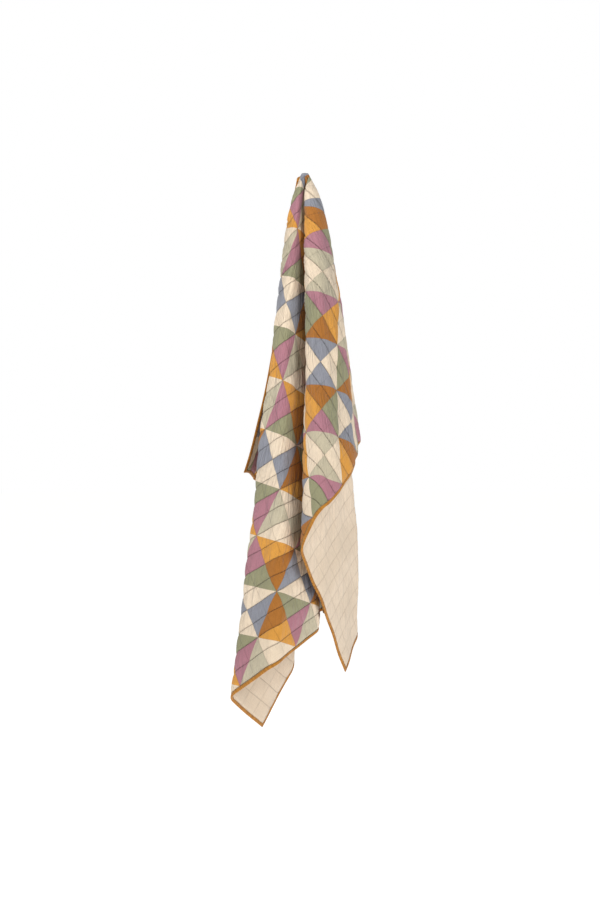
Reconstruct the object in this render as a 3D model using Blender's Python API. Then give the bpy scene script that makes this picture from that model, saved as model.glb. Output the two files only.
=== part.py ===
"""A pieced cotton quilt, 1.82 by 1.42 m, hung by one point of a long edge.

The origin is the point that holds it up. +X is to the right of a viewer in front, +Y is
away from that viewer and +Z is up. The cloth falls from the origin in deep folds.
"""

import math

import bmesh
import bpy
import numpy as np

# Flat patchwork inside its binding, in metres. Across runs along the long edges.
ACROSS = 1.80
UP = 1.40
HELD_AT = (0.95, UP)
CORNERS = ((0.0, 0.0), (ACROSS, 0.0))

# Layers, in metres from the seam surface between top and backing.
TOP_THICK = 0.0030
BACK_THICK = 0.0010
SEAM_HALF_GAP = 0.0002
BINDING_WIDTH = 0.010
BINDING_GAP = 0.0003
BINDING_EDGE = 0.7
PINCH_RADIUS = 0.30
PINCH_LEAST = 0.25

# Hang: cloth taken up by the gathers at the hook, and how wide the gathers stand there.
TAKEN_UP = 0.105
NECK_REACH = 0.25
NECK_DROP = 0.05
HIGH_RADIUS = 0.50
LOW_RADIUS = 1.30
GATHER_START = 0.80
GATHER_END = 1.60
FOLD_ROUND = 0.022
ROUND_MOST = 0.035
TIP_START = 0.05
TIP_END = 0.32
TIP_SPREAD = 0.11
TIP_ROUND = 0.008
TIP_WRAP = 1.0
DEPTH_SHIFT = -0.06

# The rear cloth swings out to the right below the hem in front of it, by this much side.
SWING = 0.022
SWING_ROW = "rear right turn"
SWING_OUT = (0.80, 1.05)
SWING_BACK = (1.15, 1.60)

# One row for each fold, in order round the hook from the rear left edge to the rear right.
# Flat angle is in degrees about the hook, from straight down the cloth. Side is X and
# depth is Y, per metre of drop. Gather is the share of the drop lost in small wrinkles.
# High is 0.5 m of cloth from the hook, and low is 1.3 m, or 1.6 m for the gather.
FOLD_COLUMNS = (
    "angle_high", "angle_low", "side_high", "side_low",
    "depth_high", "depth_low", "gather_high", "gather_low",
)
FOLDS = {
    "rear left edge": (-90.0, -90.0, -0.114, -0.187, 0.190, 0.100, 0.000, 0.020),
    "rear left inner one": (-75.0, -75.0, -0.056, -0.176, 0.250, 0.250, 0.000, 0.020),
    "rear left inner two": (-68.0, -68.0, -0.045, -0.045, 0.200, 0.200, 0.000, 0.020),
    "left pocket one": (-61.0, -60.0, -0.105, -0.110, 0.070, 0.070, 0.000, 0.020),
    "left pocket two": (-56.5, -55.5, -0.097, -0.102, 0.042, 0.042, 0.000, 0.020),
    "left inner one": (-48.5, -43.0, -0.050, -0.050, 0.130, 0.130, 0.000, 0.020),
    "left inner two": (-44.0, -38.5, -0.018, -0.016, 0.130, 0.130, 0.000, 0.020),
    "front left fold": (-37.5, -29.5, -0.130, -0.122, -0.050, -0.050, 0.000, 0.030),
    "front left face": (-30.5, -24.5, -0.068, -0.052, -0.100, -0.105, 0.000, 0.050),
    "front left turn": (-21.0, -17.8, -0.002, 0.022, -0.020, -0.005, 0.000, 0.072),
    "middle back one": (-7.5, -7.0, 0.000, 0.022, 0.145, 0.145, 0.020, 0.050),
    "middle back two": (-3.0, -2.5, 0.022, 0.040, 0.145, 0.145, 0.020, 0.050),
    "middle front one": (6.0, 6.0, 0.038, 0.038, 0.000, 0.060, 0.030, 0.060),
    "middle front two": (10.5, 10.5, 0.048, 0.048, 0.000, 0.060, 0.030, 0.060),
    "middle back three": (18.5, 18.0, 0.072, 0.066, 0.150, 0.150, 0.040, 0.070),
    "rear right turn": (27.0, 26.5, 0.108, 0.099, 0.085, 0.140, 0.050, 0.096),
    "front right fold": (48.4, 44.0, 0.000, -0.012, -0.115, -0.120, 0.050, 0.070),
    "front right cheek": (53.0, 47.3, 0.036, 0.030, -0.150, -0.165, 0.050, 0.140),
    "front right face": (57.5, 50.5, 0.083, 0.055, -0.150, -0.150, 0.050, 0.065),
    "right crease": (66.0, 54.5, 0.146, 0.100, -0.090, -0.105, 0.050, 0.065),
    "right side": (79.0, 67.5, 0.153, 0.150, 0.050, 0.080, 0.040, 0.050),
    "rear right edge": (90.0, 90.0, 0.020, 0.020, 0.300, 0.300, 0.030, 0.040),
}

# The mesh follows the folds: lines run out from the hook, and rows run round it.
ROUNDING_LINES = (-1.0, 0.0, 1.0)
PANEL_ANGLE = math.radians(9.0)
ROWS = 22
ROW_POWER = 1.6


def ramp(x, half):
    """Zero before a fold and a straight slope after it, joined by a parabola of this half width."""
    bend = (x + half) ** 2 / (4 * half)
    return np.where(x <= -half, 0.0, np.where(x >= half, x, bend))


def smooth_step(x):
    x = np.clip(x, 0.0, 1.0)
    return x * x * (3 - 2 * x)


def rounding(radius):
    """Half the angle of cloth that a fold's rounding takes."""
    return np.minimum(FOLD_ROUND / np.maximum(radius, 1e-6), ROUND_MOST)


def fold_values(radius):
    """Each fold's angle, side, depth and gather at these distances from the hook."""
    table = np.array(list(FOLDS.values()))[:, :, None]
    low = smooth_step((radius - HIGH_RADIUS) / (LOW_RADIUS - HIGH_RADIUS))
    gathered = smooth_step((radius - GATHER_START) / (GATHER_END - GATHER_START))
    angle, side, depth, gather = (
        table[:, 2 * k] + (table[:, 2 * k + 1] - table[:, 2 * k]) * share
        for k, share in enumerate((low, low, low, gathered))
    )
    swing = smooth_step((radius - SWING_OUT[0]) / (SWING_OUT[1] - SWING_OUT[0]))
    swing = swing * (1 - smooth_step((radius - SWING_BACK[0]) / (SWING_BACK[1] - SWING_BACK[0])))
    side[list(FOLDS).index(SWING_ROW)] += SWING * swing
    return np.radians(angle), side, depth, gather


def across_folds(value, fold_angle, angle, half):
    """A fold value at each angle: straight from fold to fold, with the folds rounded."""
    slope = (value[1:] - value[:-1]) / (fold_angle[1:] - fold_angle[:-1])
    place = value[0] + slope[0] * (angle - fold_angle[0])
    for k in range(1, len(slope)):
        place = place + (slope[k] - slope[k - 1]) * ramp(angle - fold_angle[k], half)
    return place


def drape(flat):
    """Where each flat point of the cloth hangs, in metres."""
    flat = np.asarray(flat, float)
    across = flat[:, 0] - HELD_AT[0]
    down = HELD_AT[1] - flat[:, 1]
    radius = np.hypot(across, down)
    angle = np.arctan2(across, down)
    half = rounding(radius)
    fold_angle, *columns = fold_values(radius)
    side, depth, gather = (across_folds(c, fold_angle, angle, half) for c in columns)
    depth = depth + DEPTH_SHIFT
    reach = np.sqrt(radius**2 + TAKEN_UP**2) - TAKEN_UP
    drop = reach * (1 - gather) / np.sqrt(1 + side**2 + depth**2)
    width = drop + NECK_REACH * (1 - np.exp(-drop / NECK_DROP))
    folded = smooth_step((radius - TIP_START) / (TIP_END - TIP_START))
    cone = np.minimum(0.5 * radius, TIP_SPREAD * width + TIP_ROUND)
    turn = TIP_WRAP * angle
    x = folded * side * width + (1 - folded) * cone * np.sin(turn)
    y = folded * depth * width - (1 - folded) * cone * np.cos(turn)
    return np.column_stack([x, y, -drop])


def pinch(flat):
    """How much of its full thickness the cloth has at each flat point: the hook squeezes it."""
    radius = np.hypot(flat[:, 0] - HELD_AT[0], flat[:, 1] - HELD_AT[1])
    return PINCH_LEAST + (1 - PINCH_LEAST) * smooth_step(radius / PINCH_RADIUS)


def line_angle(place, offset, radius):
    """The flat angle of mesh lines: a place counts folds, and an offset is within a rounding."""
    fold_angle = fold_values(radius)[0]
    first = np.clip(np.floor(place).astype(int), 0, len(FOLDS) - 2)
    each = np.arange(len(place))
    before, after = fold_angle[first, each], fold_angle[first + 1, each]
    return before + (after - before) * (place - first) + offset * rounding(radius)


def mesh_lines():
    """(places, offsets) of the mesh lines, with one through each lower corner of the quilt."""
    angles = np.radians([row[0] for row in FOLDS.values()])
    panels = []
    for k, width in enumerate(np.diff(angles)):
        inside = max(1, round(width / PANEL_ANGLE))
        panels += [k + (n + 1) / (inside + 1) for n in range(inside)]
    panels = np.array(panels)
    for corner in CORNERS:
        across, down = corner[0] - HELD_AT[0], HELD_AT[1] - corner[1]
        fold_angle = fold_values(np.array([math.hypot(across, down)]))[0][:, 0]
        place = np.interp(math.atan2(across, down), fold_angle, np.arange(len(FOLDS)))
        panels[np.argmin(abs(panels - place))] = place
    lines = [(0.0, 0.0), (len(FOLDS) - 1.0, 0.0)]
    lines += [(place, 0.0) for place in panels]
    lines += [(float(k), off) for k in range(1, len(FOLDS) - 1) for off in ROUNDING_LINES]
    lines.sort()
    return np.array(lines).T


def edge_distance(angle):
    """How far the cloth's edge is from the hook in each flat direction."""
    sideways = np.where(angle < 0, HELD_AT[0], ACROSS - HELD_AT[0])
    return np.minimum(
        sideways / np.maximum(abs(np.sin(angle)), 1e-9),
        UP / np.maximum(np.cos(angle), 1e-9),
    )


def flat_sheet():
    """A bmesh of the flat cloth as a fan from the hook, its lines along the folds."""
    places, offsets = mesh_lines()
    rim = np.full(len(places), UP)
    for _ in range(40):
        rim = edge_distance(line_angle(places, offsets, rim))
    sheet = bmesh.new()
    bmesh.ops.create_grid(sheet, x_segments=len(places) - 1, y_segments=ROWS, size=0.5)
    verts = list(sheet.verts)
    line = np.array([round((v.co.x + 0.5) * (len(places) - 1)) for v in verts])
    row = np.array([round((0.5 - v.co.y) * ROWS) for v in verts])
    radius = rim[line] * (row / ROWS) ** ROW_POWER
    angle = line_angle(places[line], offsets[line], radius)
    for vert, r, turn in zip(verts, radius, angle):
        vert.co = (HELD_AT[0] + r * math.sin(turn), HELD_AT[1] - r * math.cos(turn), 0.0)
    bmesh.ops.remove_doubles(sheet, verts=sheet.verts, dist=1e-6)
    return sheet


def hung_sheet():
    """The sheet where it hangs, in triangles, with its points, normals and pinch."""
    sheet = flat_sheet()
    flat = np.array([vert.co[:] for vert in sheet.verts])
    for vert, place in zip(sheet.verts, drape(flat)):
        vert.co = place
    bmesh.ops.triangulate(sheet, faces=list(sheet.faces), quad_method="SHORT_EDGE")
    sheet.verts.index_update()
    sheet.normal_update()
    points = np.array([vert.co[:] for vert in sheet.verts])
    normals = np.array([vert.normal[:] for vert in sheet.verts])
    return sheet, points, normals, pinch(flat)[:, None]


def layer(name, inner, thick):
    """A closed layer of the quilt, from this far off the seam surface and this thick."""
    sheet, points, normals, squeeze = hung_sheet()
    solid = bmesh.new()
    outer = inner + thick * squeeze
    under = [solid.verts.new(p) for p in points + normals * inner]
    over = [solid.verts.new(p) for p in points + normals * outer]
    outward = 1 if thick > 0 else -1
    for face in sheet.faces:
        corners = [vert.index for vert in face.verts][::outward]
        solid.faces.new([over[i] for i in corners])
        solid.faces.new([under[i] for i in corners[::-1]])
    for a, b in rim_pairs(sheet):
        wall = [under[a], under[b], over[b], over[a]]
        solid.faces.new(wall[::outward])
    bmesh.ops.recalc_face_normals(solid, faces=list(solid.faces))
    bmesh.ops.triangulate(solid, faces=[f for f in solid.faces if len(f.verts) > 3])
    sheet.free()
    return finish(name, solid)


def rim_pairs(sheet):
    """The ends of each edge of the cloth's rim, in order round it."""
    first = next(edge for edge in sheet.edges if edge.is_boundary).link_loops[0]
    pairs = []
    loop = first
    while True:
        pairs.append((loop.vert.index, loop.link_loop_next.vert.index))
        loop = loop.link_loop_next
        while not loop.edge.is_boundary:
            loop = loop.link_loop_radial_next.link_loop_next
        if loop == first:
            return pairs


def binding():
    """The folded strip round the edge, as one closed ring with mitred corners."""
    sheet, points, normals, squeeze = hung_sheet()
    order = [a for a, _ in rim_pairs(sheet)]
    sheet.free()
    rim, normal, squeeze = points[order], normals[order], squeeze[order]
    along = np.roll(rim, -1, axis=0) - rim
    along /= np.linalg.norm(along, axis=1)[:, None]
    after = np.cross(along, normal)
    before = np.cross(np.roll(along, 1, axis=0), normal)
    outward = (after + before) / (1 + (after * before).sum(axis=1))[:, None]
    high = normal * (SEAM_HALF_GAP + TOP_THICK * squeeze)
    low = -normal * (SEAM_HALF_GAP + BACK_THICK * squeeze)
    inner_edge = rim + outward * BINDING_GAP
    outer_edge = rim + outward * (BINDING_GAP + BINDING_WIDTH)
    rows = (
        inner_edge + low,
        inner_edge + high,
        outer_edge + BINDING_EDGE * high,
        outer_edge + BINDING_EDGE * low,
    )
    solid = bmesh.new()
    rings = [[solid.verts.new(p) for p in row] for row in rows]
    for ring, next_ring in zip(rings, rings[1:] + rings[:1]):
        for k, vert in enumerate(ring):
            solid.faces.new((ring[k - 1], vert, next_ring[k], next_ring[k - 1]))
    bmesh.ops.recalc_face_normals(solid, faces=list(solid.faces))
    bmesh.ops.triangulate(solid, faces=list(solid.faces))
    return finish("binding", solid)


def finish(name, solid):
    mesh = bpy.data.meshes.new(name)
    solid.to_mesh(mesh)
    solid.free()
    return bpy.data.objects.new(name, mesh)


def material(name, colour, roughness):
    cloth = bpy.data.materials.new(name)
    cloth.use_nodes = True
    shader = cloth.node_tree.nodes["Principled BSDF"]
    shader.inputs["Base Color"].default_value = (*colour, 1)
    shader.inputs["Roughness"].default_value = roughness
    return cloth


def main():
    for old in list(bpy.data.objects):
        bpy.data.objects.remove(old, do_unlink=True)
    quilt = bpy.data.collections.new("cotton_quilt")
    bpy.context.scene.collection.children.link(quilt)
    pieces = (
        (layer("patchwork_top", SEAM_HALF_GAP, TOP_THICK), (0.62, 0.45, 0.28)),
        (layer("backing", -SEAM_HALF_GAP, -BACK_THICK), (0.66, 0.57, 0.46)),
        (binding(), (0.50, 0.29, 0.08)),
    )
    for piece, colour in pieces:
        piece.data.materials.append(material(piece.name + "_cotton", colour, 0.85))
        quilt.objects.link(piece)


main()
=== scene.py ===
# %% [markdown]
# A pieced cotton quilt hangs by one point of its long edge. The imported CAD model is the
# frame: it gives the place and the size of everything, and each of its three cloth solids
# is dressed here by a finer piece in the same place.

import math

import bpy
import numpy as np
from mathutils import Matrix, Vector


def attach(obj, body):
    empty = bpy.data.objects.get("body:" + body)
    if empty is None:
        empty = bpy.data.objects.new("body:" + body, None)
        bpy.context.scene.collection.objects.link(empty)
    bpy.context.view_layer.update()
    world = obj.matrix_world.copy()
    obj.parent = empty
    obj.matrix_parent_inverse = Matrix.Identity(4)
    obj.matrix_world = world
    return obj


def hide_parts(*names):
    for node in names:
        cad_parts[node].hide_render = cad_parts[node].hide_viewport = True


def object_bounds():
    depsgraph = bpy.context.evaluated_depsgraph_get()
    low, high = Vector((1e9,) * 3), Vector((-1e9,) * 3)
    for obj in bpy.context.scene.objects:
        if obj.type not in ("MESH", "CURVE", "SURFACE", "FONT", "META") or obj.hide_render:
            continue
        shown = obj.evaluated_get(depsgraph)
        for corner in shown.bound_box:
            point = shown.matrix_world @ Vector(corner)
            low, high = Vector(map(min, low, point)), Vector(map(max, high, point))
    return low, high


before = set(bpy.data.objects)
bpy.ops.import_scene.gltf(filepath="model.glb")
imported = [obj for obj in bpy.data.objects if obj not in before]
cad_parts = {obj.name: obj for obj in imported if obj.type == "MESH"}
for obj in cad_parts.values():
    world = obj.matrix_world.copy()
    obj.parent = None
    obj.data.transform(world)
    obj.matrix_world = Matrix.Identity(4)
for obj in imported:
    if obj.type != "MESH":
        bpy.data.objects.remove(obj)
cad_box = [list(map(float, corner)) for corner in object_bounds()]
print("frame nodes:", sorted(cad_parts), "box:", cad_box)

# %% [markdown]
# A camera comes first, because every look at the work is through it. The photo was taken
# from straight ahead and far away, with the lens level and half way down the quilt. A long
# lens at 4.5 m keeps the folds from looking bent.

# %% Camera
CAMERA_AT = (-0.014, -4.5, -0.78)
VIEW_HEIGHT = 2.54
SENSOR_HEIGHT = 36.0

camera = bpy.data.objects.new("camera", bpy.data.cameras.new("camera"))
bpy.context.scene.collection.objects.link(camera)
camera.location = CAMERA_AT
camera.rotation_euler = (math.pi / 2, 0.0, 0.0)
camera.data.sensor_fit = "VERTICAL"
camera.data.sensor_height = SENSOR_HEIGHT
camera.data.lens = SENSOR_HEIGHT * -CAMERA_AT[1] / VIEW_HEIGHT
bpy.context.scene.camera = camera
print("lens:", round(camera.data.lens, 1), "mm")

# %% [markdown]
# The quilt was sewn flat, so its making starts from the flat cloth: 18 squares across and
# 14 up, of 0.1 m each, quilted in rows half a square apart. It hangs by one point near the
# middle of its upper long edge. All that follows is measured from that held point.

# %% The flat cloth
ACROSS = 1.80
UP = 1.40
HELD_AT = (0.95, UP)
PATCH = 0.10
QUILT_STEP = 0.05


def from_held_point(flat):
    """The distance and the angle of each flat point, as seen from the held point."""
    across = flat[:, 0] - HELD_AT[0]
    down = HELD_AT[1] - flat[:, 1]
    return np.hypot(across, down), np.arctan2(across, down)


print("squares:", round(ACROSS / PATCH), "by", round(UP / PATCH), "held at", HELD_AT)

# %% [markdown]
# Cloth that hangs from a point falls in folds that fan out from it. Each fold is a line on
# the flat cloth, at some angle round the held point, and it hangs at some place to the side
# and in depth for each metre of drop. So the whole hang is one short table of folds and one
# function from flat cloth to hung cloth. A simulation could find such folds too, but not
# the ones in the photo. The CAD solids hang by the same table, only with a gentler tip,
# because they are too thick to gather as closely as the finer cloth here.

# %% The table of folds
# One row for each fold, in order round the held point from the rear left edge to the rear
# right. Columns: flat angle, side, depth and gather, each high up and low down. Angles are
# in degrees from straight down the cloth. Side is X and depth is Y, per metre of drop.
# Gather is the share of the drop lost in small wrinkles.
FOLDS = {
    "rear left edge": (-90.0, -90.0, -0.114, -0.187, 0.190, 0.100, 0.000, 0.020),
    "rear left inner one": (-75.0, -75.0, -0.056, -0.176, 0.250, 0.250, 0.000, 0.020),
    "rear left inner two": (-68.0, -68.0, -0.045, -0.045, 0.200, 0.200, 0.000, 0.020),
    "left pocket one": (-61.0, -60.0, -0.105, -0.110, 0.070, 0.070, 0.000, 0.020),
    "left pocket two": (-56.5, -55.5, -0.097, -0.102, 0.042, 0.042, 0.000, 0.020),
    "left inner one": (-48.5, -43.0, -0.050, -0.050, 0.130, 0.130, 0.000, 0.020),
    "left inner two": (-44.0, -38.5, -0.018, -0.016, 0.130, 0.130, 0.000, 0.020),
    "front left fold": (-37.5, -29.5, -0.130, -0.122, -0.050, -0.050, 0.000, 0.030),
    "front left face": (-30.5, -24.5, -0.068, -0.052, -0.100, -0.105, 0.000, 0.050),
    "front left turn": (-21.0, -17.8, -0.002, 0.022, -0.020, -0.005, 0.000, 0.072),
    "middle back one": (-7.5, -7.0, 0.000, 0.022, 0.145, 0.145, 0.020, 0.050),
    "middle back two": (-3.0, -2.5, 0.022, 0.040, 0.145, 0.145, 0.020, 0.050),
    "middle front one": (6.0, 6.0, 0.038, 0.038, 0.000, 0.060, 0.030, 0.060),
    "middle front two": (10.5, 10.5, 0.048, 0.048, 0.000, 0.060, 0.030, 0.060),
    "middle back three": (18.5, 18.0, 0.072, 0.066, 0.150, 0.150, 0.040, 0.070),
    "rear right turn": (27.0, 26.5, 0.108, 0.099, 0.085, 0.140, 0.050, 0.096),
    "front right fold": (48.4, 44.0, 0.000, -0.012, -0.115, -0.120, 0.050, 0.070),
    "front right cheek": (53.0, 47.3, 0.036, 0.030, -0.150, -0.165, 0.050, 0.140),
    "front right face": (57.5, 50.5, 0.083, 0.055, -0.150, -0.150, 0.050, 0.065),
    "right crease": (66.0, 54.5, 0.146, 0.100, -0.090, -0.105, 0.050, 0.065),
    "right side": (79.0, 67.5, 0.153, 0.150, 0.050, 0.080, 0.040, 0.050),
    "rear right edge": (90.0, 90.0, 0.020, 0.020, 0.300, 0.300, 0.030, 0.040),
}
print("folds:", len(FOLDS))

# %% [markdown]
# A fold wanders on its way down, so each one slides from its high row values to its low
# ones. Two corrections need their own rule. The rear cloth swings out to the right below
# the hem in front of it. And close to the held point the outer folds turn further round it,
# because there all the cloth crowds into one bunch.

# %% Fold values down the cloth
HIGH_RADIUS = 0.50
LOW_RADIUS = 1.30
GATHER_START = 0.80
GATHER_END = 1.60

# The swing, as side per metre of drop, and the distances over which it comes and goes.
SWING = 0.022
SWING_ROW = "rear right turn"
SWING_OUT = (0.80, 1.05)
SWING_BACK = (1.15, 1.60)

# The turn at the held point, in degrees, the distances over which it fades, and the fold
# angles between which it sets in.
FAN_TURN = 20.0
FAN_START = 0.12
FAN_END = 0.50
FAN_STILL = 20.0
FAN_MOST = 40.0


def smooth_step(x):
    """Eases from 0 to 1."""
    x = np.clip(x, 0.0, 1.0)
    return x * x * (3 - 2 * x)


def fold_values(radius):
    """Each fold's angle, side, depth and gather at these distances from the held point."""
    table = np.array(list(FOLDS.values()))[:, :, None]
    low = smooth_step((radius - HIGH_RADIUS) / (LOW_RADIUS - HIGH_RADIUS))
    gathered = smooth_step((radius - GATHER_START) / (GATHER_END - GATHER_START))
    angle, side, depth, gather = (
        table[:, 2 * k] + (table[:, 2 * k + 1] - table[:, 2 * k]) * share
        for k, share in enumerate((low, low, low, gathered))
    )
    swing = smooth_step((radius - SWING_OUT[0]) / (SWING_OUT[1] - SWING_OUT[0]))
    swing = swing * (1 - smooth_step((radius - SWING_BACK[0]) / (SWING_BACK[1] - SWING_BACK[0])))
    side[list(FOLDS).index(SWING_ROW)] += SWING * swing
    spread = FAN_TURN * (1 - smooth_step((radius - FAN_START) / (FAN_END - FAN_START)))
    away = np.abs(angle)
    share = smooth_step((away - FAN_STILL) / (FAN_MOST - FAN_STILL))
    share = share * (90 - away) / (90 - FAN_MOST)
    return np.radians(angle + np.sign(angle) * spread * share), side, depth, gather


high_angles = np.degrees(fold_values(np.array([HIGH_RADIUS]))[0]).ravel()
print("fold angles high up:", high_angles.round().tolist())

# %% [markdown]
# Between two folds the cloth runs straight, and at a fold it turns in a small round, because
# wadded cloth never creases sharply. Its drop follows from its own length: what it spends
# to the side and in depth it loses in height. At the very top the folds are drawn together
# into a small cone, which is how a bunch of cloth looks where it is held.

# %% Hang a flat point
# Half the width of a fold's round, in metres, and the most that it may be in radians.
FOLD_ROUND = 0.022
ROUND_MOST = 0.035
# The length that the bunch at the held point takes up, in metres.
TAKEN_UP = 0.105
# The bunch is thick at once: its width grows by the reach within some drops of this length.
NECK_REACH = 0.25
NECK_DROP = 0.05
# The folds open between these distances from the held point. Above them is the cone.
TIP_START = 0.015
TIP_END = 0.13
TIP_SPREAD = 0.11
TIP_ROUND = 0.008
TIP_WIDEST = 0.5
# The whole hang leans towards the viewer by this much depth per metre of drop.
DEPTH_SHIFT = -0.06
SMALLEST_RADIUS = 1e-6


def ramp(x, half):
    """Zero before a fold and a straight slope after it, joined by a parabola."""
    bend = (x + half) ** 2 / (4 * half)
    return np.where(x <= -half, 0.0, np.where(x >= half, x, bend))


def across_folds(value, fold_angle, angle, half):
    """A fold value at each angle: straight from fold to fold, with the folds rounded."""
    slope = (value[1:] - value[:-1]) / (fold_angle[1:] - fold_angle[:-1])
    place = value[0] + slope[0] * (angle - fold_angle[0])
    for k in range(1, len(slope)):
        place = place + (slope[k] - slope[k - 1]) * ramp(angle - fold_angle[k], half)
    return place


def drape(flat):
    """Where each flat point of the cloth hangs, in metres."""
    radius, angle = from_held_point(flat)
    half = np.minimum(FOLD_ROUND / np.maximum(radius, SMALLEST_RADIUS), ROUND_MOST)
    fold_angle, *columns = fold_values(radius)
    side, depth, gather = (across_folds(c, fold_angle, angle, half) for c in columns)
    depth = depth + DEPTH_SHIFT
    reach = np.sqrt(radius**2 + TAKEN_UP**2) - TAKEN_UP
    drop = reach * (1 - gather) / np.sqrt(1 + side**2 + depth**2)
    width = drop + NECK_REACH * (1 - np.exp(-drop / NECK_DROP))
    folded = smooth_step((radius - TIP_START) / (TIP_END - TIP_START))
    cone = np.minimum(TIP_WIDEST * radius, TIP_SPREAD * width + TIP_ROUND)
    x = folded * side * width + (1 - folded) * cone * np.sin(angle)
    y = folded * depth * width - (1 - folded) * cone * np.cos(angle)
    return np.column_stack([x, y, -drop])


corner_names = {"left": (0.0, 0.0), "right": (ACROSS, 0.0), "rear left": (0.0, UP)}
for name, corner in corner_names.items():
    print(name, "corner hangs at", drape(np.array([corner])).round(3)[0])

# %% [markdown]
# The straight runs between folds would look ironed. Real quilted cotton never hangs so
# flat, so shallow ripples run down the cloth from the held point, a few millimetres high,
# with softer dents across them. They are sums of sines with fixed phases, so that every run
# gives the same cloth.

# %% Ripples in the cloth
RIPPLE_START = 0.12
RIPPLE_FULL = 0.60
# Columns: height in metres, turns per radian round the held point, turns per metre, phase.
RIPPLES = (
    (0.0016, 5.3, 0.35, 0.4),
    (0.0011, 9.7, 0.80, 2.1),
    (0.0008, 15.1, -0.60, 4.4),
    (0.0009, 2.1, 2.60, 1.3),
    (0.0006, 4.4, -5.10, 5.2),
)


def ripple(flat):
    """How far each flat point stands off the smooth hang, along the cloth's normal."""
    radius, angle = from_held_point(flat)
    lift = np.zeros(len(flat))
    for height, round_it, down_it, phase in RIPPLES:
        lift += height * np.sin(2 * math.pi * (round_it * angle + down_it * radius) + phase)
    return lift * smooth_step((radius - RIPPLE_START) / (RIPPLE_FULL - RIPPLE_START))


print("ripples stand at most", round(1000 * sum(row[0] for row in RIPPLES), 1), "mm proud")

# %% [markdown]
# Ripples, wadding and binding all stand off the smooth hang along its normal. It is found
# by moving each flat point a little to each side and up and down, and looking at where it
# hangs then.

# %% The cloth's normal
NORMAL_STEP = 0.003
SHORTEST_NORMAL = 1e-12


def cloth_normal(flat):
    """The unit normal of the smooth hang on the patchwork side."""
    across = drape(flat + (NORMAL_STEP, 0.0)) - drape(flat - (NORMAL_STEP, 0.0))
    up = drape(flat + (0.0, NORMAL_STEP)) - drape(flat - (0.0, NORMAL_STEP))
    normal = np.cross(across, up)
    return normal / np.maximum(np.linalg.norm(normal, axis=1), SHORTEST_NORMAL)[:, None]


middle_of_cloth = np.array([[ACROSS / 2, UP / 2]])
print("normal in the middle of the cloth:", cloth_normal(middle_of_cloth).round(2)[0].tolist())

# %% [markdown]
# Quilting pulls the layers together along straight rows of stitches, 50 mm apart, and the
# wadding puffs up between them. The rows along the long edges are pulled tight and the
# rows along the short edges less so. Near the held point the wadding is squeezed flat.

# %% Layers and quilting
# Thicknesses in metres, from the seam between the two layers outwards. The puff comes on top.
SEAM_HALF_GAP = 0.0002
TOP_THICK = 0.0030
BACK_THICK = 0.0010
TOP_PUFF = 0.0032
BACK_PUFF = 0.0009
# Under 1 makes a channel flat on top and steep at its stitches.
PUFF_ROUND = 0.55
SHORT_ROW_KEEP = 0.62
PINCH_RADIUS = 0.30
PINCH_LEAST = 0.25


def pinch(flat):
    """How much of its full thickness the cloth has at each flat point."""
    radius, _ = from_held_point(flat)
    return PINCH_LEAST + (1 - PINCH_LEAST) * smooth_step(radius / PINCH_RADIUS)


def puff(flat):
    """Zero in a stitched row along the long edges, and 1 in the middle of a channel."""
    rows_along = np.abs(np.sin(math.pi * flat[:, 1] / QUILT_STEP)) ** PUFF_ROUND
    rows_up = np.abs(np.sin(math.pi * flat[:, 0] / QUILT_STEP)) ** PUFF_ROUND
    return rows_along * (SHORT_ROW_KEEP + (1 - SHORT_ROW_KEEP) * rows_up)


middle_of_channel = np.array([[0.5 * QUILT_STEP, 0.5 * QUILT_STEP]])
top_height = SEAM_HALF_GAP + TOP_THICK + TOP_PUFF * puff(middle_of_channel)[0]
print("top stands", round(1000 * top_height, 1), "mm off the seam in the middle of a channel")

# %% [markdown]
# Each layer starts as a flat grid, because a grid is what cloth is: its squares follow the
# threads. The gathers at the held point are narrower than a square, so the squares there
# are cut finer. The flat place of each point is kept as the UV map "cloth", in metres, so that
# patchwork, stitches and weave all follow the cloth through its folds.

# %% A flat grid of cloth
FINER_WITHIN = (0.22, 0.11)


def deselect_all():
    """Nothing stays selected from an earlier step."""
    bpy.ops.object.select_all(action="DESELECT")


def flat_grid(name, cells_per_step):
    """A flat cloth with this many squares in each quilting step."""
    deselect_all()
    cells = (round(ACROSS / QUILT_STEP) * cells_per_step, round(UP / QUILT_STEP) * cells_per_step)
    bpy.ops.mesh.primitive_grid_add(
        x_subdivisions=cells[0], y_subdivisions=cells[1], size=1.0, location=(0.0, 0.0, 0.0)
    )
    cloth = bpy.context.object
    cloth.name = name
    cloth.data.name = name
    bpy.ops.object.mode_set(mode="EDIT")
    bpy.ops.transform.resize(value=(ACROSS, UP, 1.0))
    bpy.ops.transform.translate(value=(ACROSS / 2, UP / 2, 0.0))
    bpy.ops.mesh.select_mode(type="FACE")
    for radius in FINER_WITHIN:
        bpy.ops.mesh.select_all(action="DESELECT")
        bpy.ops.object.mode_set(mode="OBJECT")
        for face in cloth.data.polygons:
            face.select = math.dist(face.center[:2], HELD_AT) < radius
        bpy.ops.object.mode_set(mode="EDIT")
        bpy.ops.mesh.subdivide(number_cuts=1)
    bpy.ops.object.mode_set(mode="OBJECT")
    return cloth


def flat_places(cloth):
    """The flat X and Y of each point."""
    places = np.empty(len(cloth.data.vertices) * 3)
    cloth.data.vertices.foreach_get("co", places)
    return places.reshape(-1, 3)[:, :2]


def keep_cloth_map(cloth, flat):
    """Stores each point's flat place, in metres, as the UV map named cloth."""
    for layer in list(cloth.data.uv_layers):
        cloth.data.uv_layers.remove(layer)
    uv = cloth.data.uv_layers.new(name="cloth")
    corner_points = np.empty(len(cloth.data.loops), int)
    cloth.data.loops.foreach_get("vertex_index", corner_points)
    uv.data.foreach_set("uv", flat[corner_points].astype(np.float32).ravel())


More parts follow.
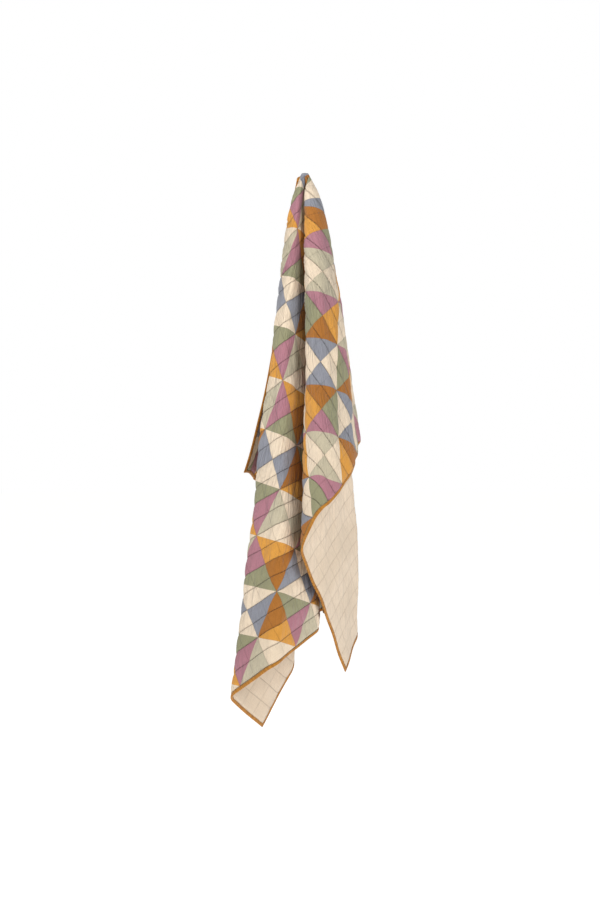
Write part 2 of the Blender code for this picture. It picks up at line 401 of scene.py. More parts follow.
def move_points(cloth, places):
    """Puts each point of the cloth at its place in space."""
    cloth.data.vertices.foreach_set("co", places.astype(np.float32).ravel())
    cloth.data.update()


print("finer squares within", FINER_WITHIN, "m of the held point")

# %% [markdown]
# A layer is hung in three moves. The grid is draped, then each point is pushed off the
# seam along the cloth's normal, and last a Solidify modifier gives the cloth its real
# thickness, away from the side that shows. A vertex group thins it at the held point.

# %% Hang a layer
def hang_layer(name, cells_per_step, side, thick, puffed, wall):
    """A cloth layer on one side of the seam: side is 1 for the top and -1 for the back."""
    cloth = flat_grid(name, cells_per_step)
    flat = flat_places(cloth)
    keep_cloth_map(cloth, flat)
    normal = cloth_normal(flat)
    squeeze = pinch(flat)
    stand_off = side * (SEAM_HALF_GAP + squeeze * (thick + puffed * puff(flat)))
    move_points(cloth, drape(flat) + normal * (stand_off + ripple(flat))[:, None])
    if side < 0:
        bpy.ops.object.mode_set(mode="EDIT")
        bpy.ops.mesh.select_all(action="SELECT")
        bpy.ops.mesh.flip_normals()
        bpy.ops.object.mode_set(mode="OBJECT")
    group = cloth.vertex_groups.new(name="squeeze")
    for share in np.unique(squeeze.round(2)):
        points = np.nonzero(squeeze.round(2) == share)[0].tolist()
        group.add(points, float(share), "REPLACE")
    solidify = cloth.modifiers.new("thickness", "SOLIDIFY")
    solidify.thickness = wall
    solidify.offset = -1.0
    solidify.vertex_group = group.name
    bpy.ops.object.modifier_apply(modifier=solidify.name)
    cloth.vertex_groups.clear()
    bpy.ops.object.shade_smooth()
    print(name, "faces:", len(cloth.data.polygons), "points:", len(cloth.data.vertices))
    return cloth


TOP_CELLS = 6
BACK_CELLS = 5
TOP_WALL = 0.0024
BACK_WALL = 0.0008

quilt_top = hang_layer("quilt_top", TOP_CELLS, 1, TOP_THICK, TOP_PUFF, TOP_WALL)
quilt_backing = hang_layer("quilt_backing", BACK_CELLS, -1, BACK_THICK, BACK_PUFF, BACK_WALL)

# %% [markdown]
# The binding is a bias strip folded over the raw edge and sewn down on both sides. Its
# making starts with stations round the edge of the flat cloth, a twelfth of a square apart
# and closer together near the held point, where the edge turns most.

# %% Stations round the edge
EDGE_STEP = QUILT_STEP / TOP_CELLS
CLOSE_WITHIN = 0.12
CLOSE_STEP = 0.003


def side_steps(start, end, step):
    """Even places along one side, about a step apart, without its end."""
    count = max(2, round(abs(end - start) / step))
    return np.linspace(start, end, count, endpoint=False)


def edge_stations():
    """Flat places round the edge, against the clock as seen from the patchwork side."""
    top_xs = np.concatenate([
        side_steps(ACROSS, HELD_AT[0] + CLOSE_WITHIN, EDGE_STEP),
        side_steps(HELD_AT[0] + CLOSE_WITHIN, HELD_AT[0] - CLOSE_WITHIN, CLOSE_STEP),
        side_steps(HELD_AT[0] - CLOSE_WITHIN, 0.0, EDGE_STEP),
    ])
    bottom_xs = side_steps(0.0, ACROSS, EDGE_STEP)
    right_ys = side_steps(0.0, UP, EDGE_STEP)
    left_ys = side_steps(UP, 0.0, EDGE_STEP)
    return np.concatenate([
        np.column_stack([bottom_xs, np.zeros(len(bottom_xs))]),
        np.column_stack([np.full(len(right_ys), ACROSS), right_ys]),
        np.column_stack([top_xs, np.full(len(top_xs), UP)]),
        np.column_stack([np.zeros(len(left_ys)), left_ys]),
    ])


stations = edge_stations()
print("binding stations:", len(stations))

# %% [markdown]
# At each station the strip has the same flattened, rounded section, mitred where the edge
# turns. The thread draws it in as it is sewn down, which gives it small puckers.

# %% The strip's section
BINDING_WIDTH = 0.0085
BINDING_FRONT = 0.0042
BINDING_BACK = 0.0021
PUCKER_PITCH = 0.014
PUCKER_DEPTH = 0.10
# A mitre grows as the edge turns more sharply. This keeps the sharpest ones short.
SHARPEST_MEET = 0.5
# Columns: share of the width outwards from the patchwork's edge, and share of the height
# off the seam, which is the front height where positive and the back height where not.
STRIP_SECTION = (
    (-0.08, 0.78), (0.04, 0.98), (0.25, 1.08), (0.60, 1.00), (0.86, 0.74), (1.00, 0.28),
    (1.00, -0.30), (0.86, -0.76), (0.60, -1.00), (0.25, -1.08), (0.04, -0.98), (-0.08, -0.76),
)


def strip_rows():
    """The strip's points, one row for each point of its section, and the way gone round."""
    seam = drape(stations) + cloth_normal(stations) * ripple(stations)[:, None]
    along = np.roll(seam, -1, axis=0) - seam
    lengths = np.linalg.norm(along, axis=1)
    along /= lengths[:, None]
    normal = cloth_normal(stations)
    after = np.cross(along, normal)
    after /= np.linalg.norm(after, axis=1)[:, None]
    before = np.roll(after, 1, axis=0)
    meet = np.maximum(1 + (after * before).sum(axis=1), SHARPEST_MEET)
    outward = (after + before) / meet[:, None]
    travelled = np.concatenate([[0.0], np.cumsum(lengths)[:-1]])
    pucker = 1 - PUCKER_DEPTH * np.sin(math.pi * travelled / PUCKER_PITCH) ** 2
    height = pinch(stations) * pucker
    rows = []
    for out, off in STRIP_SECTION:
        rise = BINDING_FRONT * off if off > 0 else BINDING_BACK * off
        rows.append(seam + outward * out * BINDING_WIDTH + normal * (rise * height)[:, None])
    return np.array(rows), travelled


binding_rows, way_round = strip_rows()
binding_length = round(float(way_round[-1]), 2)
print("binding length:", binding_length, "m, points in its section:", len(binding_rows))

# %% [markdown]
# The strip is one closed ring. It is made from a grid whose long way runs round the edge
# and whose short way runs round the section, and its ends are then merged. A curve with a
# bevel would be quicker to make, but the bevel turns with its curve and would not stay flat
# against the cloth.

# %% The binding ring
MERGE_WITHIN = 1e-6


def build_binding(rows, travelled):
    """The strip's mesh, with the way round the edge and round the section as its map."""
    section_count, station_count = rows.shape[:2]
    deselect_all()
    bpy.ops.mesh.primitive_grid_add(
        x_subdivisions=station_count,
        y_subdivisions=section_count,
        size=1.0,
        location=(0.0, 0.0, 0.0),
    )
    strip = bpy.context.object
    strip.name = "quilt_binding"
    grid = np.empty(len(strip.data.vertices) * 3)
    strip.data.vertices.foreach_get("co", grid)
    grid = grid.reshape(-1, 3)
    station = np.rint((grid[:, 0] + 0.5) * station_count).astype(int)
    section = np.rint((grid[:, 1] + 0.5) * section_count).astype(int)
    round_edge = np.append(travelled, travelled[-1] + EDGE_STEP)[station]
    round_strip = section / section_count * 2 * BINDING_WIDTH
    keep_cloth_map(strip, np.column_stack([round_edge, round_strip]))
    move_points(strip, rows[section % section_count, station % station_count])
    bpy.ops.object.mode_set(mode="EDIT")
    bpy.ops.mesh.select_all(action="SELECT")
    bpy.ops.mesh.remove_doubles(threshold=MERGE_WITHIN)
    bpy.ops.mesh.normals_make_consistent(inside=False)
    bpy.ops.object.mode_set(mode="OBJECT")
    bpy.ops.object.shade_smooth()
    return strip


quilt_binding = build_binding(binding_rows, way_round)
print(quilt_binding.name, "faces:", len(quilt_binding.data.polygons))

# %% [markdown]
# Materials are built from small node helpers. Colours are written as the eye reads them on
# a screen, from 0 to 255, and turned to the linear values that a render works in.

# %% Node helpers
def screen_colour(red, green, blue):
    """The linear colour of a screen colour, by the usual screen curve."""
    values = []
    for value in (red, green, blue):
        value /= 255
        values.append(value / 12.92 if value <= 0.04045 else ((value + 0.055) / 1.055) ** 2.4)
    return (*values, 1.0)


def add_node(tree, kind, place, **settings):
    """A new node at this place in the node editor."""
    node = tree.nodes.new(kind)
    node.location = place
    for key, value in settings.items():
        setattr(node, key, value)
    return node


def put(tree, target, value):
    """Feeds a socket from another socket, or sets it to a plain value."""
    if isinstance(value, bpy.types.NodeSocket):
        tree.links.new(value, target)
    else:
        target.default_value = value


def maths(tree, operation, place, *inputs):
    """The result of one sum on sockets or plain numbers."""
    node = add_node(tree, "ShaderNodeMath", place, operation=operation)
    for socket, value in zip(node.inputs, inputs):
        put(tree, socket, value)
    return node.outputs[0]


def between(tree, place, value, low, high, to_low, to_high):
    """A smooth step from one value to another."""
    node = add_node(tree, "ShaderNodeMapRange", place, interpolation_type="SMOOTHSTEP")
    for socket, given in zip(node.inputs, (value, low, high, to_low, to_high)):
        put(tree, socket, given)
    return node.outputs[0]


def noise(tree, place, vector, scale, detail=2.0):
    """A soft random value from 0 to 1 at each place."""
    node = add_node(tree, "ShaderNodeTexNoise", place)
    put(tree, node.inputs["Vector"], vector)
    put(tree, node.inputs["Scale"], scale)
    put(tree, node.inputs["Detail"], detail)
    return node.outputs[0]


def new_group(name, inputs, outputs):
    """An empty shader group with named sockets."""
    group = bpy.data.node_groups.new(name, "ShaderNodeTree")
    for label, kind in inputs:
        group.interface.new_socket(label, in_out="INPUT", socket_type=kind)
    for label, kind in outputs:
        group.interface.new_socket(label, in_out="OUTPUT", socket_type=kind)
    start = add_node(group, "NodeGroupInput", (-1200, 0))
    end = add_node(group, "NodeGroupOutput", (900, 0))
    return group, start.outputs, end.inputs


FLOAT, VECTOR, COLOUR = "NodeSocketFloat", "NodeSocketVector", "NodeSocketColor"
print("mid grey on a screen is", round(screen_colour(128, 128, 128)[0], 3), "in linear light")

# %% [markdown]
# Weave is shared by all three cloths. Close up, plain cotton is a net of crossing threads,
# and each thread is a little thicker or thinner along its way. Two sines make the net and
# two stretched noises make the uneven threads. The thread size is an input.

# %% Weave group
# Noise turns per metre: many across a thread and few along it.
SLUB_STRETCHES = ((700.0, 40.0, 1.0), (40.0, 700.0, 1.0))
NET_SHARE = 0.25
SLUB_SHARE = 0.5


def build_weave():
    """A group that gives the height and the tone of plain weave at each flat place."""
    group, given, result = new_group(
        "plain_weave",
        (("Cloth", VECTOR), ("Thread", FLOAT)),
        (("Height", FLOAT), ("Tone", FLOAT)),
    )
    split = add_node(group, "ShaderNodeSeparateXYZ", (-1000, 0))
    put(group, split.inputs[0], given["Cloth"])
    waves = []
    for row, axis in enumerate("XY"):
        turns = maths(group, "DIVIDE", (-820, -160 * row), split.outputs[axis], given["Thread"])
        angle = maths(group, "MULTIPLY", (-660, -160 * row), turns, math.pi)
        waves.append(maths(group, "SINE", (-500, -160 * row), angle))
    net = maths(group, "MULTIPLY", (-320, -80), *waves)
    slubs = []
    for row, stretch in enumerate(SLUB_STRETCHES):
        low = -420 - 200 * row
        stretched = add_node(group, "ShaderNodeVectorMath", (-820, low), operation="MULTIPLY")
        put(group, stretched.inputs[0], given["Cloth"])
        stretched.inputs[1].default_value = stretch
        slubs.append(noise(group, (-620, low), stretched.outputs[0], 1.0))
    slub = maths(group, "ADD", (-380, -460), *slubs)
    slub_part = maths(group, "MULTIPLY", (-200, -460), slub, SLUB_SHARE)
    net_part = maths(group, "MULTIPLY", (-120, -80), net, NET_SHARE)
    put(group, result["Height"], maths(group, "ADD", (60, -160), net_part, slub_part))
    put(group, result["Tone"], slub_part)
    return group


weave_group = build_weave()
print("groups:", [group.name for group in bpy.data.node_groups])

# %% [markdown]
# Stitched rows draw a narrow valley in the cloth, with the thread lying in it as short
# dashes. The group measures how far each point is from the nearest row in each direction
# and puts out a mask for the valley, one for the thread, and a height. The materials paint
# shade into the valley by its mask, and that painted shade also stands for the dark line
# of the stitches.

# %% Stitching group
VALLEY_HALF = 0.0024
THREAD_HALF = 0.0007
STITCH_LENGTH = 0.0032
# The thread keeps its full height over this share of its half width.
THREAD_FLAT = 0.6
# Each stitch dips into the cloth at its ends, over these shares of its length.
STITCH_GAP = (0.08, 0.14)
THREAD_RISE = 0.35


def build_stitching():
    """A group that gives the stitched valleys, the thread in them and their height."""
    group, given, result = new_group(
        "quilting_rows",
        (("Cloth", VECTOR), ("Short rows", FLOAT)),
        (("Valley", FLOAT), ("Thread", FLOAT), ("Height", FLOAT)),
    )
    split = add_node(group, "ShaderNodeSeparateXYZ", (-1000, 0))
    put(group, split.inputs[0], given["Cloth"])
    valleys, threads = [], []
    for row, (axis, other) in enumerate((("Y", "X"), ("X", "Y"))):
        high = -420 * row
        away = maths(group, "PINGPONG", (-800, high), split.outputs[axis], QUILT_STEP / 2)
        valleys.append(between(group, (-600, high), away, 0.0, VALLEY_HALF, 1.0, 0.0))
        full = THREAD_HALF * THREAD_FLAT
        line = between(group, (-600, high - 180), away, full, THREAD_HALF, 1.0, 0.0)
        way = split.outputs[other]
        along = maths(group, "PINGPONG", (-800, high - 200), way, STITCH_LENGTH / 2)
        start, end = (STITCH_LENGTH * share for share in STITCH_GAP)
        dash = between(group, (-400, high - 200), along, start, end, 0.0, 1.0)
        threads.append(maths(group, "MULTIPLY", (-240, high - 200), line, dash))
    faint_valley = maths(group, "MULTIPLY", (-60, -420), valleys[1], given["Short rows"])
    faint_thread = maths(group, "MULTIPLY", (-60, -620), threads[1], given["Short rows"])
    valley = maths(group, "MAXIMUM", (140, -60), valleys[0], faint_valley)
    thread = maths(group, "MAXIMUM", (140, -260), threads[0], faint_thread)
    sunk = maths(group, "MULTIPLY", (320, -160), valley, -1.0)
    raised = maths(group, "MULTIPLY", (320, -320), thread, THREAD_RISE)
    put(group, result["Valley"], valley)
    put(group, result["Thread"], thread)
    put(group, result["Height"], maths(group, "ADD", (520, -200), sunk, raised))
    return group


stitching_group = build_stitching()
print("stitched rows every", QUILT_STEP, "m, stitches every", STITCH_LENGTH, "m")

# %% [markdown]
# Washed cotton is never smooth between its stitches. Fine creases run down the hang, so
# they are drawn in the angle and the distance from the held point, and stretched along the
# distance. They crowd together at that point, so they are shallower there. A broad noise
# lets them come and go, and is also the slow change of tone that washing leaves on cloth.

# %% Crease and tone group
CREASE_LENGTHS = 9.0
CREASE_DETAIL = 3.0
CREASES_FULL = 0.45
CREASES_LEAST = 0.08
BROAD_SCALE = 7.0
BROAD_TONES = (0.35, 0.65)
CALM_LEAST = 0.35


def build_creases():
    """A group that gives the height of the creases and the slow change of tone."""
    group, given, result = new_group(
        "washed_creases",
        (("Cloth", VECTOR), ("Fineness", FLOAT)),
        (("Height", FLOAT), ("Tone", FLOAT)),
    )
    split = add_node(group, "ShaderNodeSeparateXYZ", (-1100, 0))
    put(group, split.inputs[0], given["Cloth"])
    across = maths(group, "SUBTRACT", (-920, 60), split.outputs["X"], HELD_AT[0])
    down = maths(group, "SUBTRACT", (-920, -120), HELD_AT[1], split.outputs["Y"])
    angle = maths(group, "ARCTAN2", (-740, 60), across, down)
    across_squared = maths(group, "POWER", (-740, -80), across, 2.0)
    down_squared = maths(group, "POWER", (-740, -220), down, 2.0)
    squares = maths(group, "ADD", (-560, -150), across_squared, down_squared)
    radius = maths(group, "SQRT", (-400, -150), squares)
    fine_angle = maths(group, "MULTIPLY", (-560, 60), angle, given["Fineness"])
    fine_radius = maths(group, "MULTIPLY", (-240, -150), radius, CREASE_LENGTHS)
    polar = add_node(group, "ShaderNodeCombineXYZ", (-60, 0))
    put(group, polar.inputs["X"], fine_angle)
    put(group, polar.inputs["Y"], fine_radius)
    creases = noise(group, (120, 60), polar.outputs[0], 1.0, CREASE_DETAIL)
    broad = noise(group, (120, -220), given["Cloth"], BROAD_SCALE)
    where = between(group, (300, -220), broad, *BROAD_TONES, CALM_LEAST, 1.0)
    opened = between(group, (120, -420), radius, 0.0, CREASES_FULL, CREASES_LEAST, 1.0)
    shown = maths(group, "MULTIPLY", (460, -220), where, opened)
    put(group, result["Height"], maths(group, "MULTIPLY", (620, 0), creases, shown))
    put(group, result["Tone"], broad)
    return group


crease_group = build_creases()
print("sockets of", crease_group.name, [item.name for item in crease_group.interface.items_tree])

# %% [markdown]
# The patchwork is a traditional one: every square is cut on the diagonal into two
# triangles, the diagonals lean alternately left and right, and the colours repeat every
# four rows. So a colour is chosen by three whole numbers: the row's place in the repeat,
# whether the square is odd, and whether the point is in the square's upper triangle.
# Sixteen triangles are charted here, and a stepped colour ramp holds them.

# %% The chart of colours
CLOTHS = {
    "cream": (238, 219, 194),
    "yellow": (222, 158, 70),
    "orange": (174, 112, 46),
    "mauve": (180, 125, 138),
    "olive": (154, 152, 120),
    "sage": (200, 190, 165),
    "blue": (145, 147, 157),
}
# Columns: even square's lower and upper triangle, then odd square's lower and upper.
PATCH_ROWS = (
    ("sage", "mauve", "cream", "yellow"),
    ("orange", "blue", "olive", "cream"),
    ("blue", "orange", "cream", "olive"),
    ("mauve", "sage", "yellow", "cream"),
)
# Half the width of a seam's darker line, as a share of a square.
SEAM_WIDTH = 0.022

chart_names = [cloth for row in PATCH_ROWS for cloth in row]
print("patch colours:", len(CLOTHS), "triangles in the chart:", len(chart_names))

# %% [markdown]
# The group first finds the square of each point and where in the square it lies. The
# diagonal of an odd square leans the other way, so its sum is blended in by the odd mask.
# The three whole numbers then make one index, which picks the stop of the ramp. The seams
# between squares lie in stitched rows, so only the diagonal ones need a mask.

# %% Patchwork group
def build_patchwork():
    """A group that gives each patch's colour and a mask of the diagonal seams."""
    group, given, result = new_group(
        "patchwork", (("Cloth", VECTOR),), (("Color", COLOUR), ("Seam", FLOAT))
    )
    split = add_node(group, "ShaderNodeSeparateXYZ", (-1100, 0))
    put(group, split.inputs[0], given["Cloth"])
    whole, part = {}, {}
    for row, axis in enumerate("XY"):
        squares = maths(group, "DIVIDE", (-940, -200 * row), split.outputs[axis], PATCH)
        whole[axis] = maths(group, "FLOOR", (-780, -200 * row), squares)
        part[axis] = maths(group, "FRACT", (-780, -200 * row - 90), squares)
    both = maths(group, "ADD", (-600, 0), whole["X"], whole["Y"])
    odd = maths(group, "FLOORED_MODULO", (-440, 0), both, 2.0)
    band = maths(group, "FLOORED_MODULO", (-440, -150), whole["Y"], len(PATCH_ROWS))
    even_side = maths(group, "SUBTRACT", (-600, -300), part["Y"], part["X"])
    parts = maths(group, "ADD", (-600, -450), part["X"], part["Y"])
    odd_side = maths(group, "SUBTRACT", (-440, -450), parts, 1.0)
    change = maths(group, "SUBTRACT", (-280, -380), odd_side, even_side)
    lean = maths(group, "MULTIPLY", (-120, -380), change, odd)
    past_diagonal = maths(group, "ADD", (40, -340), even_side, lean)
    upper = maths(group, "GREATER_THAN", (200, -340), past_diagonal, 0.0)
    bands = maths(group, "MULTIPLY", (-280, -150), band, len(PATCH_ROWS[0]))
    odds = maths(group, "MULTIPLY", (-280, 0), odd, 2.0)
    first = maths(group, "ADD", (-120, -80), bands, odds)
    index = maths(group, "ADD", (360, -120), first, upper)
    middle = maths(group, "ADD", (520, -120), index, 0.5)
    ramp_place = maths(group, "DIVIDE", (680, -120), middle, len(chart_names))
    chart = add_node(group, "ShaderNodeValToRGB", (700, 120))
    chart.color_ramp.interpolation = "CONSTANT"
    stops = chart.color_ramp.elements
    while len(stops) < len(chart_names):
        stops.new(len(stops) / len(chart_names))
    for k, cloth in enumerate(chart_names):
        stops[k].position = k / len(chart_names)
        stops[k].color = screen_colour(*CLOTHS[cloth])
    put(group, chart.inputs["Fac"], ramp_place)
    put(group, result["Color"], chart.outputs["Color"])
    far = maths(group, "ABSOLUTE", (200, -520), past_diagonal)
    put(group, result["Seam"], between(group, (400, -520), far, 0.0, SEAM_WIDTH, 1.0, 0.0))
    return group


patchwork_group = build_patchwork()
print("nodes in the patchwork group:", len(patchwork_group.nodes))

# %% [markdown]
# Three more helpers are shared by all the materials. One places a group and feeds its
# sockets. One darkens a colour where a mask is high, by multiplying it with a shade, which
# keeps the colour's own hue, as a real shadow in cloth does. And one starts a matt cotton,
# which has a soft sheen from its fuzz and hardly any gloss.

# %% Material helpers
SHEEN_ROUGHNESS = 0.5
COTTON_SPECULAR = 0.25


def place_group(tree, group, place, **inputs):
    """A group in a material, with its inputs fed by name."""
    node = add_node(tree, "ShaderNodeGroup", place, node_tree=group)
    for key, value in inputs.items():
        put(tree, node.inputs[key.replace("_", " ")], value)
    return node.outputs


def darken(tree, place, colour, mask, shade, share):
    """Mixes a colour towards its own dark shade by a mask."""
    node = add_node(tree, "ShaderNodeMix", place, data_type="RGBA", blend_type="MULTIPLY")
    factor = maths(tree, "MULTIPLY", (place[0] - 180, place[1] - 160), mask, share)
    put(tree, node.inputs["Factor"], factor)
    put(tree, node.inputs["A"], colour)
    put(tree, node.inputs["B"], shade)
    return node.outputs["Result"]


def cotton_shader(name, place, sheen):
    """A new material with a matt cotton shader, its node tree, and the piece's own map."""
    material = bpy.data.materials.new(name)
    material.use_nodes = True
    tree = material.node_tree
    shader = tree.nodes["Principled BSDF"]
    shader.location = place
    shader.inputs["Sheen Weight"].default_value = sheen
    shader.inputs["Sheen Roughness"].default_value = SHEEN_ROUGHNESS
    shader.inputs["Specular IOR Level"].default_value = COTTON_SPECULAR
    cloth = add_node(tree, "ShaderNodeUVMap", (-900, 0), uv_map="cloth").outputs[0]
    return material, tree, shader, cloth


print("helpers ready; sheen roughness", SHEEN_ROUGHNESS, "specular level", COTTON_SPECULAR)

# %% [markdown]
# The patchwork and the backing share one recipe: a base colour, darker along the seams and
# where washing has dulled it, with painted shade where the weave dips, and in the stitched
# valleys a painted shade that also stands for the dark line of the stitches; then three
# bumps in a row, for the stitches, the creases and the threads. Matt cotton scatters light
# from its fuzz, which is the sheen. Each cloth is a material of its own with its own
# values, and the shader node stays in the material.

# %% Cloth materials
# Each shade is what a colour is multiplied by in the dark of its mask, with its share. The
# tones are the noise values from which and to which such a mask grows.
SEAM_SHADE, SEAM_SHARE = (0.62, 0.58, 0.55, 1.0), 0.32
# Painted shade in the dips of the weave, where the thread noise is low.
DIP_TONES = (0.62, 0.38)
DIP_PAINTED_SHADE, DIP_SHARE = (0.86, 0.85, 0.84, 1.0), 0.75
WORN_TONES = (0.62, 0.36)
WORN_SHADE, WORN_SHARE = (0.90, 0.89, 0.87, 1.0), 0.75
# Painted shade in the stitched valleys, which also stands for the dark line of the stitches.
VALLEY_PAINTED_SHADE = (0.42, 0.38, 0.34, 1.0)
THREAD_TONES = (0.35, 0.65)
ROUGH_DIP, ROUGH_THREAD = 0.94, 0.82
BACKING_COLOUR = (232, 213, 190)


def cloth_material(name, colour, thread, fineness, short_rows, valley_painted_shade_share, sheen, heights):
    """A cotton, in one colour or in patches where the colour is None.

    Heights are the bump distances of stitches, creases and threads, in metres.
    """
    material, tree, shader, cloth = cotton_shader(name, (1500, 0), sheen)
    weave = place_group(tree, weave_group, (-600, -500), Cloth=cloth, Thread=thread)
    creases = place_group(tree, crease_group, (-600, -250), Cloth=cloth, Fineness=fineness)
    rows = place_group(tree, stitching_group, (-600, 0), Cloth=cloth, Short_rows=short_rows)
    if colour is None:
        patches = place_group(tree, patchwork_group, (-600, 250), Cloth=cloth)
        pieced, seams = patches["Color"], patches["Seam"]
        base = darken(tree, (-200, 300), pieced, seams, SEAM_SHADE, SEAM_SHARE)
    else:
        base = screen_colour(*colour)
    dips = between(tree, (-200, -60), weave["Tone"], *DIP_TONES, 0.0, 1.0)
    worn = between(tree, (-200, -220), creases["Tone"], *WORN_TONES, 0.0, 1.0)
    # Painted shade: darker in the dips of the weave.
    base = darken(tree, (100, 300), base, dips, DIP_PAINTED_SHADE, DIP_SHARE)
    base = darken(tree, (350, 300), base, worn, WORN_SHADE, WORN_SHARE)
    # Painted shade in the stitched valleys, standing also for the dark line of the stitches.
    base = darken(tree, (600, 300), base, rows["Valley"], VALLEY_PAINTED_SHADE, valley_painted_shade_share)
    put(tree, shader.inputs["Base Color"], base)
    rough = between(tree, (800, 60), weave["Tone"], *THREAD_TONES, ROUGH_DIP, ROUGH_THREAD)
    put(tree, shader.inputs["Roughness"], rough)
    normal = None
    sources = (rows["Height"], creases["Height"], weave["Height"])
    for k, (source, distance) in enumerate(zip(sources, heights)):
        bump = add_node(tree, "ShaderNodeBump", (600 + 220 * k, -400))
        bump.inputs["Strength"].default_value = 1.0
        bump.inputs["Distance"].default_value = distance
        put(tree, bump.inputs["Height"], source)
        if normal is not None:
            put(tree, bump.inputs["Normal"], normal)
        normal = bump.outputs[0]
    put(tree, shader.inputs["Normal"], normal)
    return material


top_cotton = cloth_material(
    "patchwork_cotton", None, thread=0.0006, fineness=90.0, short_rows=0.35,
    valley_painted_shade_share=0.60, sheen=0.15, heights=(0.0020, 0.0190, 0.00015),
)
backing_cotton = cloth_material(
    "backing_cotton", BACKING_COLOUR, thread=0.0007, fineness=85.0, short_rows=0.7,
    valley_painted_shade_share=0.26, sheen=0.15, heights=(0.0010, 0.0085, 0.00015),
)
print("cloth materials:", top_cotton.name, backing_cotton.name)

# %% [markdown]
# The binding's own map runs round the edge, so its stitches are a row of small dashes on
# each of its sewn sides, and its creases are the short puckers across it. A stretched noise
# draws them: many to the metre along the strip and few across it. The hollows of the
# puckers are darkened with painted shade.

# %% Binding material
STRIP_COLOUR = (182, 124, 46)
STRIP_THREAD = 0.0006
STRIP_SHEEN = 0.2
STRIP_PUCKERS = (160.0, 30.0, 1.0)
# Painted shade in the hollows of the binding's puckers.
PUCKER_TONES = (0.62, 0.40)
PUCKER_PAINTED_SHADE, PUCKER_SHARE = (0.72, 0.66, 0.60, 1.0), 0.8
SEWN_SHADE, SEWN_SHARE = (0.55, 0.48, 0.40, 1.0), 0.55
DASH_ENDS = (0.0004, 0.0008)
SEWN_HALF = (0.0008, 0.0018)
STRIP_DIP, STRIP_RAISED = 0.92, 0.8
STRIP_BUMP = 0.0012
STRIP_THREAD_BUMP = 0.00012


def binding_material():
    """The mustard cotton of the strip."""
    material, tree, shader, cloth = cotton_shader("binding_cotton", (1200, 0), STRIP_SHEEN)
    weave = place_group(tree, weave_group, (-600, -300), Cloth=cloth, Thread=STRIP_THREAD)
    stretched = add_node(tree, "ShaderNodeVectorMath", (-600, 100), operation="MULTIPLY")
    put(tree, stretched.inputs[0], cloth)
    stretched.inputs[1].default_value = STRIP_PUCKERS
    puckers = noise(tree, (-400, 100), stretched.outputs[0], 1.0)
    split = add_node(tree, "ShaderNodeSeparateXYZ", (-600, -80))
    put(tree, split.inputs[0], cloth)
    dash = maths(tree, "PINGPONG", (-400, -80), split.outputs["X"], STITCH_LENGTH / 2)
    dash_mask = between(tree, (-220, -80), dash, *DASH_ENDS, 0.0, 1.0)
    row = maths(tree, "PINGPONG", (-400, -220), split.outputs["Y"], BINDING_WIDTH)
    row_mask = between(tree, (-220, -220), row, *SEWN_HALF, 1.0, 0.0)
    stitch = maths(tree, "MULTIPLY", (-40, -140), dash_mask, row_mask)
    # Painted shade: darker in the hollows of the puckers.
    shade = between(tree, (-200, 140), puckers, *PUCKER_TONES, 0.0, 1.0)
    plain = screen_colour(*STRIP_COLOUR)
    base = darken(tree, (100, 200), plain, shade, PUCKER_PAINTED_SHADE, PUCKER_SHARE)
    base = darken(tree, (350, 200), base, row_mask, SEWN_SHADE, SEWN_SHARE)
    put(tree, shader.inputs["Base Color"], base)
    rough = between(tree, (500, 0), weave["Tone"], *THREAD_TONES, STRIP_DIP, STRIP_RAISED)
    put(tree, shader.inputs["Roughness"], rough)
    high = maths(tree, "ADD", (140, -260), puckers, stitch)
    bump = add_node(tree, "ShaderNodeBump", (600, -300))
    bump.inputs["Distance"].default_value = STRIP_BUMP
    put(tree, bump.inputs["Height"], high)
    threads = add_node(tree, "ShaderNodeBump", (850, -300))
    threads.inputs["Distance"].default_value = STRIP_THREAD_BUMP
    put(tree, threads.inputs["Height"], weave["Height"])
    put(tree, threads.inputs["Normal"], bump.outputs[0])
    put(tree, shader.inputs["Normal"], threads.outputs[0])
    return material


strip_cotton = binding_material()
print("binding material nodes:", len(strip_cotton.node_tree.nodes))

# %% [markdown]
# Each piece now takes its material, rides on the one body that the model has, and stands
# for its CAD solid, which the simulation keeps.

# %% Dress the frame
def dress(piece, material, node):
    """Gives a piece its material and its body, and hides the CAD node that it stands for."""
    piece.data.materials.clear()
    piece.data.materials.append(material)
    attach(piece, "root")
    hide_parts(node)


dress(quilt_top, top_cotton, "patchwork_top")
dress(quilt_backing, backing_cotton, "backing")
dress(quilt_binding, strip_cotton, "binding")
print("dressed:", quilt_top.name, quilt_backing.name, quilt_binding.name)

# %% [markdown]
# The photo is a plain studio shot, white all round, and no line shows where the floor ends.
# The floor is a large plane a little below the quilt. A white paint alone would render grey,
# so it also glows a little, as a lit studio table does.

# %% Floor
FLOOR_BELOW = 0.12
FLOOR_REACH = 60.0
FLOOR_COLOUR = (0.93, 0.93, 0.92, 1.0)
FLOOR_ROUGHNESS = 0.9
FLOOR_GLOW = 0.80


def build_floor():
    """A pale plane below the quilt, which is only a stage for it."""
    deselect_all()
    level = cad_box[0][2] - FLOOR_BELOW
    bpy.ops.mesh.primitive_plane_add(size=FLOOR_REACH, location=(0.0, 0.0, level))
    floor = bpy.context.object
    floor.name = "floor"
    material = bpy.data.materials.new("floor_paint")
    material.use_nodes = True
    shader = material.node_tree.nodes["Principled BSDF"]
    shader.inputs["Base Color"].default_value = FLOOR_COLOUR
    shader.inputs["Roughness"].default_value = FLOOR_ROUGHNESS
    shader.inputs["Emission Color"].default_value = FLOOR_COLOUR
    shader.inputs["Emission Strength"].default_value = FLOOR_GLOW
    floor.data.materials.append(material)
    return floor


studio_floor = build_floor()
print(studio_floor.name, "at", round(cad_box[0][2] - FLOOR_BELOW, 2), "m")

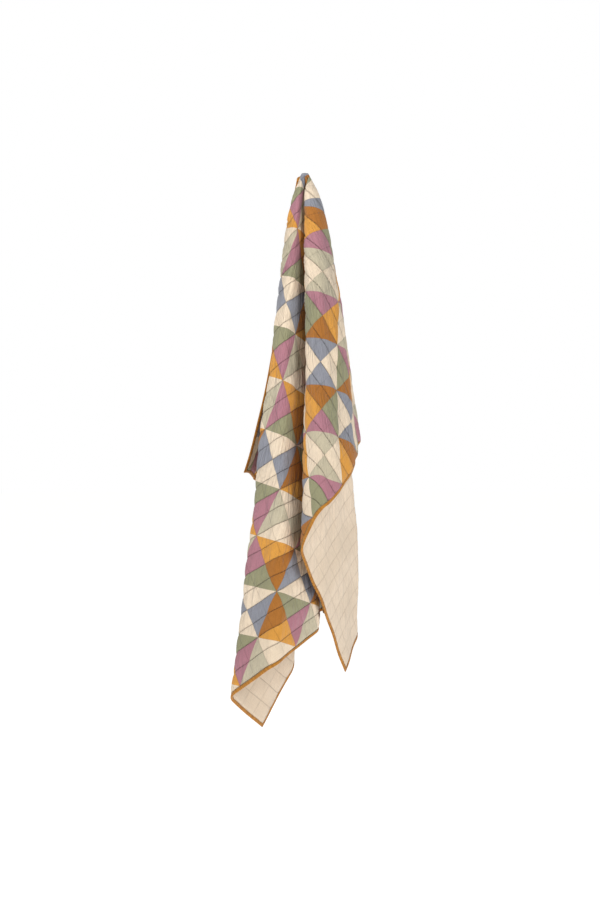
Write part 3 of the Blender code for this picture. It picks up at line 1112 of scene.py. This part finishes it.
# %% [markdown]
# Two soft lights stand a little above the held point. The key is close on the left, so the
# left panel is brightest and the light falls off towards the bottom corners, as in the
# photo. The fill is further off on the right, so the deep valley in the middle stays
# dark. Light from the white surroundings keeps the rest of the folds open.

# %% Lights and surroundings
WHITE = (1.0, 1.0, 1.0, 1.0)
SURROUNDING_LIGHT = 0.28
BACKDROP_LIGHT = 1.0


def area_light(name, place, aim, size, watts):
    """A square light at a place, turned towards an aim."""
    light = bpy.data.objects.new(name, bpy.data.lights.new(name, "AREA"))
    bpy.context.scene.collection.objects.link(light)
    light.data.size = size
    light.data.energy = watts
    light.location = place
    direction = np.array(aim) - np.array(place)
    level = math.hypot(direction[0], direction[1])
    tilt = math.atan2(level, -direction[2])
    heading = math.atan2(-direction[0], direction[1])
    light.rotation_euler = (tilt, 0.0, heading)


def white_surroundings(strength, seen):
    """White light from all round, and a brighter white where the camera looks past the quilt."""
    world = bpy.data.worlds.new("studio")
    bpy.context.scene.world = world
    world.use_nodes = True
    tree = world.node_tree
    tree.nodes.clear()
    light = add_node(tree, "ShaderNodeBackground", (0, 0))
    light.inputs["Color"].default_value = WHITE
    light.inputs["Strength"].default_value = strength
    backdrop = add_node(tree, "ShaderNodeBackground", (0, -160))
    backdrop.inputs["Color"].default_value = WHITE
    backdrop.inputs["Strength"].default_value = seen
    path = add_node(tree, "ShaderNodeLightPath", (0, 320))
    mix = add_node(tree, "ShaderNodeMixShader", (220, 0))
    put(tree, mix.inputs[0], path.outputs["Is Camera Ray"])
    put(tree, mix.inputs[1], light.outputs[0])
    put(tree, mix.inputs[2], backdrop.outputs[0])
    end = add_node(tree, "ShaderNodeOutputWorld", (420, 0))
    put(tree, end.inputs[0], mix.outputs[0])


area_light("key", place=(-1.25, -0.95, 0.65), aim=(0.0, 0.0, -0.25), size=0.6, watts=20.0)
area_light("fill", place=(1.45, -2.5, 0.65), aim=(0.0, 0.0, -0.6), size=1.0, watts=45.0)
white_surroundings(SURROUNDING_LIGHT, BACKDROP_LIGHT)
bpy.context.scene.view_settings.view_transform = "Standard"
